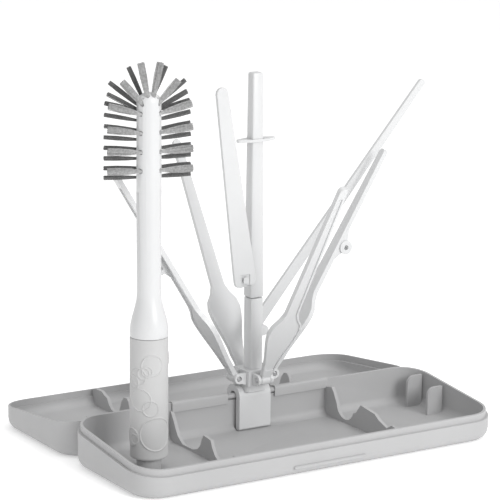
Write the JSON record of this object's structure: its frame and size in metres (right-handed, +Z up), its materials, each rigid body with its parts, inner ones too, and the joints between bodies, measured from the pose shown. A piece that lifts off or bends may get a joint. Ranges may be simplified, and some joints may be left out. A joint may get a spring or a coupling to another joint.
{
  "type": "bottle drying rack",
  "caption": "Folding bottle drying rack: hinged travel case with a clip-on stem, folding leaf arms and swinging fingers, and a standing bottle brush.",
  "frame": {"origin": "centre of the tray's flat underside, on the surface it stands on", "axes": "+X along the hinge line, +Y from the tray to the opened lid, +Z up"},
  "size_m": [0.263, 0.1974, 0.2449],
  "materials": {
    "case_grey": "fine satin moulding",
    "rack_white": "semi-gloss",
    "pin_steel": "drawn wire",
    "grip_grey": "matte elastomer",
    "bristle_dark": "nylon filament",
    "bristle_light": "nylon filament"
  },
  "bodies": {
    "tray": {"tray": "case_grey", "hinge_pin_left": "pin_steel", "hinge_pin_right": "pin_steel", "clip_rod": "case_grey"},
    "lid": {"lid": "case_grey"},
    "rack": {"clip": "rack_white", "hub": "rack_white", "post": "rack_white", "crossbar": "rack_white", "pin_left": "pin_steel", "pin_right": "pin_steel", "pin_back": "pin_steel", "pin_front": "pin_steel", "pin_finger_front": "rack_white", "pin_finger_long": "rack_white"},
    "arm_left": {"arm_left": "rack_white"},
    "arm_right": {"arm_right": "rack_white"},
    "arm_back": {"arm_back": "rack_white"},
    "arm_front": {"arm_front": "rack_white"},
    "finger_front": {"finger_front": "rack_white"},
    "finger_long": {"finger_long": "rack_white"},
    "brush": {"brush_body": "rack_white", "brush_grip": "grip_grey", "tufts_dark": "bristle_dark", "tufts_light": "bristle_light"}
  },
  "joints": [
    {"name": "lid_hinge", "type": "hinge", "parent": "tray", "child": "lid", "pos_m": [0, 0.0469, 0.0237], "axis": [1, 0, 0], "range_deg": [0, 55]},
    {"name": "rack_lift", "type": "slide", "parent": "tray", "child": "rack", "axis": [0, 0, 1], "range_m": [0, 0.08]},
    {"name": "brush_lift", "type": "slide", "parent": "tray", "child": "brush", "axis": [0, 0, 1], "range_m": [0, 0.06]},
    {"name": "arm_left_fold", "type": "hinge", "parent": "rack", "child": "arm_left", "pos_m": [-0.013, 0.0409, 0.0385], "axis": [0, 1, 0], "range_deg": [0, 29]},
    {"name": "arm_right_fold", "type": "hinge", "parent": "rack", "child": "arm_right", "pos_m": [0.013, 0.0409, 0.0385], "axis": [0, -1, 0], "range_deg": [0, 29]},
    {"name": "arm_back_fold", "type": "hinge", "parent": "rack", "child": "arm_back", "pos_m": [0, 0.0539, 0.0385], "axis": [1, 0, 0], "range_deg": [0, 23.5]},
    {"name": "arm_front_fold", "type": "hinge", "parent": "rack", "child": "arm_front", "pos_m": [0, 0.0279, 0.0385], "axis": [-1, 0, 0], "range_deg": [0, 29]},
    {"name": "finger_front_swing", "type": "hinge", "parent": "rack", "child": "finger_front", "pos_m": [-0.0106, 0.03455, 0.1015], "axis": [0, 1, 0], "range_deg": [-31.6, 8.4]},
    {"name": "finger_long_swing", "type": "hinge", "parent": "rack", "child": "finger_long", "pos_m": [0.0085, 0.05365, 0.0656], "axis": [0, -1, 0], "range_deg": [0, 40.6]}
  ]
}
